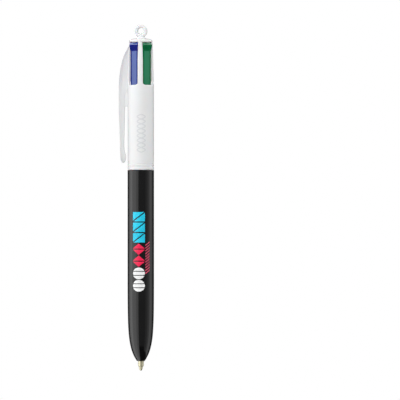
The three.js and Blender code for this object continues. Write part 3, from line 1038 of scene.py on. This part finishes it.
# Raised waves on the white barrel. The section is across and up from the skin, as shares.
WAVE_LOW = 90.2
WAVE_HIGH = 106.6
WAVE_LENGTH = 4.1
WAVE_AZIMUTH = 4.3
WAVE_SWING = 18.0
WAVE_HALF = 0.27
WAVE_HEIGHT = 0.062
WAVE_FLANK = [(1, -0.03), (0.9, 0.1), (0.68, 0.42), (0.42, 0.76), (0.2, 0.95)]
WAVE_SECTION = [(-t, r) for t, r in WAVE_FLANK] + [(0, 1.0)] + WAVE_FLANK[::-1] + [(0, -0.6)]


def printed(name, bands, material):
    """A thin closed film on the lower barrel. Each band runs from one azimuth to another, between
    two curves of height."""
    points, faces = [], []
    for first, last, low, high in bands:
        columns = max(3, int(abs(last - first) / 1.5) + 1)
        loops = []
        for u in np.linspace(first, last, columns):
            a = math.radians(u - 90)
            bottom = low(u)
            top = max(high(u), bottom + 0.02)
            corners = ((FILM_LOW, bottom), (FILM_HIGH, bottom), (FILM_HIGH, top), (FILM_LOW, top))
            loops.append([(r * math.cos(a), r * math.sin(a), z) for r, z in corners])
        more, quads = lofted(loops)
        faces += [tuple(i + len(points) for i in quad) for quad in quads]
        points += more
    obj = mesh_object(name, points, faces, [material], sharp=30)
    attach(obj, "root")


def across_mark(u):
    """-1 to 1 from the left edge of a mark to its right edge."""
    return (u - PRINT_MIDDLE) / PRINT_HALF


def band(low, high, reach=1.0):
    """A band over the width of a mark, or over a share of it."""
    return PRINT_MIDDLE - PRINT_HALF * reach, PRINT_MIDDLE + PRINT_HALF * reach, low, high


def striped_disc(middle, half):
    """A disc cut by two level gaps."""
    radius = half - 0.15

    def level(share):
        def height(u):
            edge = math.sqrt(max(0.0, 1 - across_mark(u) ** 2))
            return middle + radius * max(-edge, min(edge, share))
        return height

    bands = []
    for low, high in ((-1, -0.42), (-0.27, 0.27), (0.42, 1)):
        nearest = 0 if low < 0 < high else min(abs(low), abs(high))
        bands.append(band(level(low), level(high), math.sqrt(1 - nearest**2)))
    return bands


def diamond(middle, half):
    """A diamond cut in two by a level gap."""
    reach = half - 0.12 - DIAMOND_GAP

    def outline(sign):
        return lambda u: middle + sign * (DIAMOND_GAP + reach * (1 - abs(across_mark(u))))

    return [
        band(outline(-1), lambda u: middle - DIAMOND_GAP),
        band(lambda u: middle + DIAMOND_GAP, outline(1)),
    ]


def wedge_pair(middle, half):
    """Two triangles, one each way up, side by side."""
    half = half - 0.25
    bottom, top = middle - half, middle + half

    def rising(u):
        return bottom + half * (across_mark(u) + 1)

    return [
        band(lambda u: bottom, lambda u: max(bottom + 0.03, rising(u) - WEDGE_GAP)),
        band(lambda u: min(top - 0.03, rising(u) + WEDGE_GAP), lambda u: top),
    ]


def slanted_line(start):
    def low(u):
        return start + SLANT_RISE * (u - SLANT_MIDDLE)
    return SLANT_FIRST, SLANT_LAST, low, lambda u: low(u) + SLANT_WIDTH


def barrel_print():
    """Plain discs, diamonds and wedges in a row up the barrel, and slanted lines beside them."""
    z = MARK_LOW
    for name, color, shape, material in (
        ("print_discs", "white", striped_disc, PRINT_WHITE),
        ("print_diamonds", "pink", diamond, PRINT_PINK),
        ("print_wedges", "cyan", wedge_pair, PRINT_CYAN),
    ):
        bands, step = [], MARK_STEPS[color]
        for _ in range(MARK_COUNTS[color]):
            bands += shape(z + step / 2, step / 2)
            z += step
        printed(name, bands, material)
    start = MARK_LOW + 2 * MARK_STEPS["white"] - 2.2
    lines = [slanted_line(start + SLANT_STEP * n) for n in range(SLANT_COUNT)]
    printed("print_slants", lines, PRINT_LINE)


def raised_ornament():
    """Two waves that cross, standing a little proud of the white barrel. It is a plain pattern."""
    base = BODY_RADIUS - 0.012
    steepest = math.radians(WAVE_SWING) * BODY_RADIUS * 2 * math.pi / WAVE_LENGTH
    for n, phase in enumerate((0, math.pi)):
        loops = []
        for z in np.linspace(WAVE_LOW, WAVE_HIGH, 150):
            a = 2 * math.pi * (z - WAVE_LOW) / WAVE_LENGTH + phase
            middle = math.radians(WAVE_AZIMUTH + WAVE_SWING * math.sin(a) - 90)
            slope = steepest * math.cos(a)
            side, down = np.array([1.0, -slope]) / math.hypot(slope, 1.0) * WAVE_HALF
            loop = []
            for t, r in WAVE_SECTION:
                turn, radius = middle + t * side / BODY_RADIUS, base + r * WAVE_HEIGHT
                loop.append((radius * math.cos(turn), radius * math.sin(turn), z + t * down))
            loops.append(loop)
        points, faces = lofted(loops)
        # The waves' greyer white is painted shade on their raised flanks.
        obj = mesh_object(f"raised_wave_{n + 1}", points, faces, [RELIEF_SHADED_WHITE], sharp=60)
        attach(obj, "upper_assembly")


# ---- the pen

def fit(obj, body, node, slot):
    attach(obj, body)
    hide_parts(node)


fit(lower_barrel(), "root", "lower_barrel", "black_barrel")
fit(upper_barrel(), "upper_assembly", "upper_barrel", "white_plastic")
fit(top_cap(), "upper_assembly", "top_cap", "white_plastic")

clip = pocket_clip()
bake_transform(clip)
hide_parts("pocket_clip")

for color, angle in PENS.items():
    latched = color == LATCHED
    base = FACE_COLORS[color]
    finishes = [
        gloss_plastic(f"slider_{color}_gloss", base, 0.14, Specular_IOR_Level=SHINE[color]),
        # The grip's darker colour is painted shade on the flanks and thumb rest.
        matte_plastic(f"slider_{color}_grip", GRIP_SHADE_COLORS[color], 0.6, Specular_IOR_Level=0.05),
        gloss_plastic(f"slider_{color}_lip", base, 0.14, Specular_IOR_Level=1.0),
    ]
    ink = gloss_plastic(f"ink_{color}", INK_COLORS[color], 0.12)
    made = slider(f"slider_{color}_fine", angle, TRAVEL if latched else 0, finishes)
    fit(made, f"slider_{color}", f"slider_{color}", f"plastic_{color}")
    refill(color, angle, latched, ink)
    return_spring(color, angle, latched)

barrel_print()
raised_ornament()

for node in ("slider_guide", "spring_seat"):
    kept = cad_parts[node]
    kept.data.materials.clear()
    kept.data.materials.append(INNER)


# ---- studio

# The camera stands a little to the right of the pen's front, and the lights are placed from it.
# Azimuths are in degrees to its right, lengths here are in metres.
VIEW_TURN = 2.3

# Panels round the pen, seen in gloss only: azimuths, heights and strength. A face turned by an angle
# shows the panel at twice that angle, so the left ones draw the wide bright band down the pen and the
# right ones the narrow band.
PANEL_DISTANCE = 0.6
PANELS = {
    "left_edge": (-120, -100, -1.7, 0.75, 1.42),
    "left_bright": (-100, -80, -1.7, 0.75, 2.3),
    "left_wide": (-80, -41, -1.7, 0.75, 1.79),
    "left_inner": (-41, -21, -1.7, 0.75, 1.22),
    "front": (-21, 42, -0.3, 0.75, 0.19),
    "right_inner": (42, 62, -0.4, 0.6, 0.36),
    "right_wide": (62, 82, -0.4, 0.6, 0.62),
    "right_bright": (82, 102, -0.4, 0.6, 1.13),
    "right_edge": (102, 120, -0.4, 0.6, 0.74),
    "back_left": (-160, -120, -0.4, 0.6, 0.1),
    "back_right": (120, 160, -0.4, 0.6, 0.05),
    "high_left": (-150, -60, 0.36, 1.4, 2.6),
    "high_right": (60, 150, 0.36, 1.4, 1.7),
}

# Soft lights that leave no highlight: azimuth and power in watts
SOFT_LIGHTS = {
    "left": (-75, 2.5), "key": (-42, 0.6), "front": (-15, 1.9), "right": (15, 2.2), "side": (75, 0.3),
    "rim_left": (-110, 1.8), "rim_right": (110, 1.9), "back_left": (-150, 1.7), "back_right": (150, 1.8),
}
SOFT_ELEVATION, SOFT_DISTANCE, SOFT_SIZE = 18, 0.9, 0.4
TOP_ELEVATION, TOP_DISTANCE, TOP_SIZE, TOP_POWER = 80, 0.6, 0.5, 1.0
AIM_HEIGHT = 0.07

# What the surroundings give to matt surfaces, to gloss and to the camera
AMBIENT, GLOSS_AMBIENT, BACKDROP = 0.36, 0.02, 1.0
FLOOR_REACH = 9.0
FLOOR_GAP = 0.0002

# The pen stands left of the middle of the picture. These lengths are in millimetres.
LENS, SENSOR = 600.0, 36.0
PICTURE_WIDTH = 173.0
PEN_LEFT_OF_MIDDLE = 25.6
MIDDLE_HEIGHT = 69.6


def seen_from(azimuth):
    """The direction from the pen to an azimuth, as the angle about +Z in radians."""
    return math.radians(azimuth + VIEW_TURN - 90)


def glow(name, strength):
    material = bpy.data.materials.new(name)
    material.use_nodes = True
    nodes = material.node_tree.nodes
    nodes.clear()
    emission = nodes.new("ShaderNodeEmission")
    emission.inputs["Strength"].default_value = strength
    output = nodes.new("ShaderNodeOutputMaterial")
    material.node_tree.links.new(emission.outputs["Emission"], output.inputs["Surface"])
    return material


def staged(name, points, faces, material):
    """A sheet of the studio. It gives no matt light and no shadow."""
    mesh = bpy.data.meshes.new(name)
    mesh.from_pydata(points, [], faces)
    mesh.materials.append(material)
    obj = new_object(name, mesh)
    obj.visible_diffuse = obj.visible_shadow = False
    return obj


def reflector(name, first, last, low, high, strength):
    """A curved panel round the pen, from one azimuth to another, seen in gloss only."""
    points = []
    for azimuth in np.linspace(first, last, 16):
        a = seen_from(azimuth)
        x, y = PANEL_DISTANCE * math.cos(a), PANEL_DISTANCE * math.sin(a)
        points += [(x, y, low), (x, y, high)]
    faces = [(i, i + 1, i + 3, i + 2) for i in range(0, len(points) - 2, 2)]
    panel = staged("panel_" + name, points, faces, glow("panel_" + name, strength))
    panel.visible_camera = panel.visible_transmission = False


def area_light(name, azimuth, elevation, distance, size, power, in_gloss):
    """A soft square light aimed at the pen's middle."""
    light = bpy.data.lights.new("light_" + name, "AREA")
    light.shape, light.size, light.energy = "SQUARE", size, power
    obj = new_object("light_" + name, light)
    a, e = seen_from(azimuth), math.radians(elevation)
    back = Vector((math.cos(a) * math.cos(e), math.sin(a) * math.cos(e), math.sin(e)))
    obj.location = Vector((0, 0, AIM_HEIGHT)) + back * distance
    obj.rotation_mode = "QUATERNION"
    obj.rotation_quaternion = (-back).to_track_quat("-Z", "Y")
    obj.visible_camera = False
    obj.visible_glossy = in_gloss


def white_floor():
    """A plain white floor as bright as the backdrop, just below the pen."""
    r, z = FLOOR_REACH, cad_low.z - FLOOR_GAP
    material = node_material("floor", (0, 0, 0), 1.0, Emission_Strength=1.0, Specular_IOR_Level=0.0)
    shader = material.node_tree.nodes["Principled BSDF"]
    shader.inputs["Emission Color"].default_value = (1, 1, 1, 1)
    floor = staged("floor", [(-r, -r, z), (r, -r, z), (r, r, z), (-r, r, z)], [(0, 1, 2, 3)], material)
    floor.visible_glossy = False


def surroundings():
    """An even white world, dimmer in matt light and in gloss than to the camera."""
    world = bpy.data.worlds.new("studio")
    bpy.context.scene.world = world
    world.use_nodes = True
    nodes, links = world.node_tree.nodes, world.node_tree.links
    nodes.clear()
    path = nodes.new("ShaderNodeLightPath")
    output = nodes.new("ShaderNodeOutputWorld")

    def backdrop(value):
        node = nodes.new("ShaderNodeBackground")
        node.inputs["Color"].default_value = (1, 1, 1, 1)
        node.inputs["Strength"].default_value = value
        return node.outputs[0]

    def choose(ray, no, yes):
        mix = nodes.new("ShaderNodeMixShader")
        links.new(path.outputs[ray], mix.inputs["Fac"])
        links.new(no, mix.inputs[1])
        links.new(yes, mix.inputs[2])
        return mix.outputs["Shader"]

    lit = choose("Is Glossy Ray", backdrop(AMBIENT), backdrop(GLOSS_AMBIENT))
    links.new(choose("Is Camera Ray", lit, backdrop(BACKDROP)), output.inputs["Surface"])


def level_camera():
    """A long lens that looks level, with the pen left of the middle of the picture."""
    data = bpy.data.cameras.new("camera")
    data.lens, data.sensor_width = LENS, SENSOR
    data.clip_start, data.clip_end = 0.1, 40
    camera = new_object("camera", data)
    turn = math.radians(VIEW_TURN)
    across, away = PEN_LEFT_OF_MIDDLE * MM, PICTURE_WIDTH * MM * LENS / SENSOR
    camera.location = (
        across * math.cos(turn) + away * math.sin(turn),
        across * math.sin(turn) - away * math.cos(turn),
        MIDDLE_HEIGHT * MM,
    )
    camera.rotation_euler = (math.pi / 2, 0, turn)
    return camera


for name, placing in PANELS.items():
    reflector(name, *placing)
for name, (azimuth, power) in SOFT_LIGHTS.items():
    area_light(name, azimuth, SOFT_ELEVATION, SOFT_DISTANCE, SOFT_SIZE, power, False)
area_light("top", 0, TOP_ELEVATION, TOP_DISTANCE, TOP_SIZE, TOP_POWER, True)
white_floor()
surroundings()
bpy.context.scene.camera = level_camera()
bpy.context.scene.view_settings.view_transform = "Standard"
